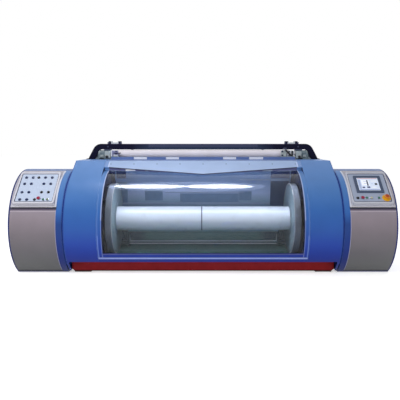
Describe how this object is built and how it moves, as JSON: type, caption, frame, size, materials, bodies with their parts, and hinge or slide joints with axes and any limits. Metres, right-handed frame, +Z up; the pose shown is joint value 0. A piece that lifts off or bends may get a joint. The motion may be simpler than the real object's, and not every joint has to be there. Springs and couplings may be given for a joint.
{
  "type": "sizing machine headstock",
  "caption": "Drum-shaped beam winding headstock of a warp sizing line: side cabinets with consoles, a swinging clear visor and a driven warp beam inside.",
  "frame": {"origin": "middle of the machine on the floor, below the axis of the drum-shaped casing", "axes": "+X to the right along the warp beam, -Y towards the operator, +Z up"},
  "size_m": [4, 1.21, 1.41],
  "materials": {
    "blue_paint": "satin royal blue enamel",
    "light_blue_paint": "satin light blue enamel",
    "grey_paint": "fine textured warm grey",
    "console_paint": "satin cream",
    "dark_paint": "satin blue black",
    "kick_red": "satin dark red",
    "clear_pane": "clear, polished",
    "barrel_white": "gloss white",
    "flange_metal": "turned",
    "spindle_steel": "ground",
    "roller_steel": "polished",
    "comb_steel": "brushed",
    "casting_paint": "satin grey green",
    "belt_rubber": "matt",
    "screen_plastic": "gloss",
    "blue_cap": "gloss",
    "black_knob": "gloss",
    "red_cap": "gloss",
    "green_cap": "gloss",
    "white_cap": "gloss",
    "stop_red": "gloss"
  },
  "bodies": {
    "frame": {"base_frame": "dark_paint", "bulkhead_left": "dark_paint", "bulkhead_right": "dark_paint", "cabinet_left": "blue_paint", "cabinet_right": "blue_paint", "upper_panel_left": "grey_paint", "upper_panel_right": "grey_paint", "lower_panel_left": "grey_paint", "lower_panel_right": "grey_paint", "console_left": "console_paint", "console_right": "console_paint", "touch_screen": "screen_plastic", "housing_left": "blue_paint", "housing_right": "blue_paint", "hood_panel": "light_blue_paint", "hood_top": "light_blue_paint", "rear_panel": "blue_paint", "front_sill": "blue_paint", "drive_motor": "casting_paint", "drive_belt": "belt_rubber", "roller_castings": "casting_paint", "crossbar": "dark_paint"},
    "visor": {"visor_frame": "blue_paint", "visor_pane": "clear_pane"},
    "kick_bar": {"kick_bar": "kick_red"},
    "beam": {"drive_spindle": "spindle_steel", "beam_barrel": "barrel_white", "beam_flange_left": "flange_metal", "beam_flange_right": "flange_metal"},
    "tail_quill": {"tail_quill": "spindle_steel"},
    "motor_rotor": {"motor_pulley": "spindle_steel"},
    "press_arms": {"press_arms": "dark_paint"},
    "press_roller": {"press_roller": "roller_steel"},
    "guide_roller": {"guide_roller": "roller_steel"},
    "comb": {"comb": "comb_steel"},
    "left_button_1": {"left_button_1": "blue_cap"},
    "left_button_2": {"left_button_2": "blue_cap"},
    "left_button_3": {"left_button_3": "blue_cap"},
    "left_button_4": {"left_button_4": "blue_cap"},
    "left_button_5": {"left_button_5": "blue_cap"},
    "left_button_6": {"left_button_6": "blue_cap"},
    "left_button_7": {"left_button_7": "blue_cap"},
    "left_button_8": {"left_button_8": "blue_cap"},
    "left_button_9": {"left_button_9": "blue_cap"},
    "left_button_10": {"left_button_10": "blue_cap"},
    "left_button_11": {"left_button_11": "blue_cap"},
    "left_button_12": {"left_button_12": "blue_cap"},
    "left_selector_1": {"left_selector_1": "black_knob"},
    "left_selector_2": {"left_selector_2": "black_knob"},
    "left_selector_3": {"left_selector_3": "black_knob"},
    "left_selector_4": {"left_selector_4": "black_knob"},
    "left_stop_button": {"left_stop_button": "red_cap"},
    "left_start_button": {"left_start_button": "green_cap"},
    "left_ready_button": {"left_ready_button": "white_cap"},
    "right_selector": {"right_selector": "black_knob"},
    "right_stop_button": {"right_stop_button": "red_cap"},
    "right_start_button": {"right_start_button": "green_cap"},
    "right_ready_button": {"right_ready_button": "white_cap"},
    "right_reset_button": {"right_reset_button": "green_cap"},
    "emergency_stop": {"emergency_stop": "stop_red"}
  },
  "joints": [
    {"name": "visor_swing", "type": "hinge", "parent": "frame", "child": "visor", "pos_m": [0, 0, 0.49], "axis": [-1, 0, 0], "range_deg": [0, 65]},
    {"name": "kick_bar_press", "type": "slide", "parent": "frame", "child": "kick_bar", "axis": [0, 1, 0], "range_m": [0, 0.01], "stiffness_N_per_m": 3000},
    {"name": "beam_spin", "type": "hinge", "parent": "frame", "child": "beam", "pos_m": [0, 0, 0.53], "axis": [1, 0, 0], "continuous": true},
    {"name": "motor_spin", "type": "hinge", "parent": "frame", "child": "motor_rotor", "pos_m": [-1.31, 0.22, 0.25], "axis": [1, 0, 0], "continuous": true},
    {"name": "quill_slide", "type": "slide", "parent": "frame", "child": "tail_quill", "axis": [1, 0, 0], "range_m": [0, 0.08]},
    {"name": "press_swing", "type": "hinge", "parent": "frame", "child": "press_arms", "pos_m": [0, 0.3, 0.187], "axis": [-1, 0, 0], "range_deg": [0, 60]},
    {"name": "press_roller_spin", "type": "hinge", "parent": "press_arms", "child": "press_roller", "pos_m": [0, 0.191, 0.42], "axis": [1, 0, 0], "continuous": true},
    {"name": "guide_roller_spin", "type": "hinge", "parent": "frame", "child": "guide_roller", "pos_m": [0, 0.43, 1.257], "axis": [1, 0, 0], "continuous": true},
    {"name": "comb_slide", "type": "slide", "parent": "frame", "child": "comb", "axis": [1, 0, 0], "range_m": [-0.02, 0.02]},
    {"name": "left_button_1_press", "type": "slide", "parent": "frame", "child": "left_button_1", "axis": [0, 0.6947, -0.7193], "range_m": [0, 0.004], "stiffness_N_per_m": 400},
    {"name": "left_button_2_press", "type": "slide", "parent": "frame", "child": "left_button_2", "axis": [0, 0.6947, -0.7193], "range_m": [0, 0.004], "stiffness_N_per_m": 400},
    {"name": "left_button_3_press", "type": "slide", "parent": "frame", "child": "left_button_3", "axis": [0, 0.6947, -0.7193], "range_m": [0, 0.004], "stiffness_N_per_m": 400},
    {"name": "left_button_4_press", "type": "slide", "parent": "frame", "child": "left_button_4", "axis": [0, 0.6947, -0.7193], "range_m": [0, 0.004], "stiffness_N_per_m": 400},
    {"name": "left_button_5_press", "type": "slide", "parent": "frame", "child": "left_button_5", "axis": [0, 0.6947, -0.7193], "range_m": [0, 0.004], "stiffness_N_per_m": 400},
    {"name": "left_button_6_press", "type": "slide", "parent": "frame", "child": "left_button_6", "axis": [0, 0.6947, -0.7193], "range_m": [0, 0.004], "stiffness_N_per_m": 400},
    {"name": "left_button_7_press", "type": "slide", "parent": "frame", "child": "left_button_7", "axis": [0, 0.6947, -0.7193], "range_m": [0, 0.004], "stiffness_N_per_m": 400},
    {"name": "left_button_8_press", "type": "slide", "parent": "frame", "child": "left_button_8", "axis": [0, 0.6947, -0.7193], "range_m": [0, 0.004], "stiffness_N_per_m": 400},
    {"name": "left_button_9_press", "type": "slide", "parent": "frame", "child": "left_button_9", "axis": [0, 0.6947, -0.7193], "range_m": [0, 0.004], "stiffness_N_per_m": 400},
    {"name": "left_button_10_press", "type": "slide", "parent": "frame", "child": "left_button_10", "axis": [0, 0.6947, -0.7193], "range_m": [0, 0.004], "stiffness_N_per_m": 400},
    {"name": "left_button_11_press", "type": "slide", "parent": "frame", "child": "left_button_11", "axis": [0, 0.6947, -0.7193], "range_m": [0, 0.004], "stiffness_N_per_m": 400},
    {"name": "left_button_12_press", "type": "slide", "parent": "frame", "child": "left_button_12", "axis": [0, 0.6947, -0.7193], "range_m": [0, 0.004], "stiffness_N_per_m": 400},
    {"name": "left_selector_1_turn", "type": "hinge", "parent": "frame", "child": "left_selector_1", "pos_m": [-1.761, -0.31753, 1.01747], "axis": [0, -0.6947, 0.7193], "range_deg": [-45, 45]},
    {"name": "left_selector_2_turn", "type": "hinge", "parent": "frame", "child": "left_selector_2", "pos_m": [-1.689, -0.46499, 0.87506], "axis": [0, -0.6947, 0.7193], "range_deg": [-45, 45]},
    {"name": "left_selector_3_turn", "type": "hinge", "parent": "frame", "child": "left_selector_3", "pos_m": [-1.617, -0.46499, 0.87506], "axis": [0, -0.6947, 0.7193], "range_deg": [-45, 45]},
    {"name": "left_selector_4_turn", "type": "hinge", "parent": "frame", "child": "left_selector_4", "pos_m": [-1.741, -0.53621, 0.80629], "axis": [0, -0.6947, 0.7193], "range_deg": [-45, 45]},
    {"name": "left_stop_button_press", "type": "slide", "parent": "frame", "child": "left_stop_button", "axis": [0, 0.6947, -0.7193], "range_m": [0, 0.004], "stiffness_N_per_m": 400},
    {"name": "left_start_button_press", "type": "slide", "parent": "frame", "child": "left_start_button", "axis": [0, 0.6947, -0.7193], "range_m": [0, 0.004], "stiffness_N_per_m": 400},
    {"name": "left_ready_button_press", "type": "slide", "parent": "frame", "child": "left_ready_button", "axis": [0, 0.6947, -0.7193], "range_m": [0, 0.004], "stiffness_N_per_m": 400},
    {"name": "right_selector_turn", "type": "hinge", "parent": "frame", "child": "right_selector", "pos_m": [1.602, -0.52038, 0.82157], "axis": [0, -0.6947, 0.7193], "range_deg": [-45, 45]},
    {"name": "right_stop_button_press", "type": "slide", "parent": "frame", "child": "right_stop_button", "axis": [0, 0.6947, -0.7193], "range_m": [0, 0.004], "stiffness_N_per_m": 400},
    {"name": "right_start_button_press", "type": "slide", "parent": "frame", "child": "right_start_button", "axis": [0, 0.6947, -0.7193], "range_m": [0, 0.004], "stiffness_N_per_m": 400},
    {"name": "right_ready_button_press", "type": "slide", "parent": "frame", "child": "right_ready_button", "axis": [0, 0.6947, -0.7193], "range_m": [0, 0.004], "stiffness_N_per_m": 400},
    {"name": "right_reset_button_press", "type": "slide", "parent": "frame", "child": "right_reset_button", "axis": [0, 0.6947, -0.7193], "range_m": [0, 0.004], "stiffness_N_per_m": 400},
    {"name": "emergency_stop_press", "type": "slide", "parent": "frame", "child": "emergency_stop", "axis": [0, 0.6947, -0.7193], "range_m": [0, 0.006]}
  ],
  "couplings": [
    {"joint": "motor_spin", "follows": "beam_spin", "ratio": 2}
  ]
}
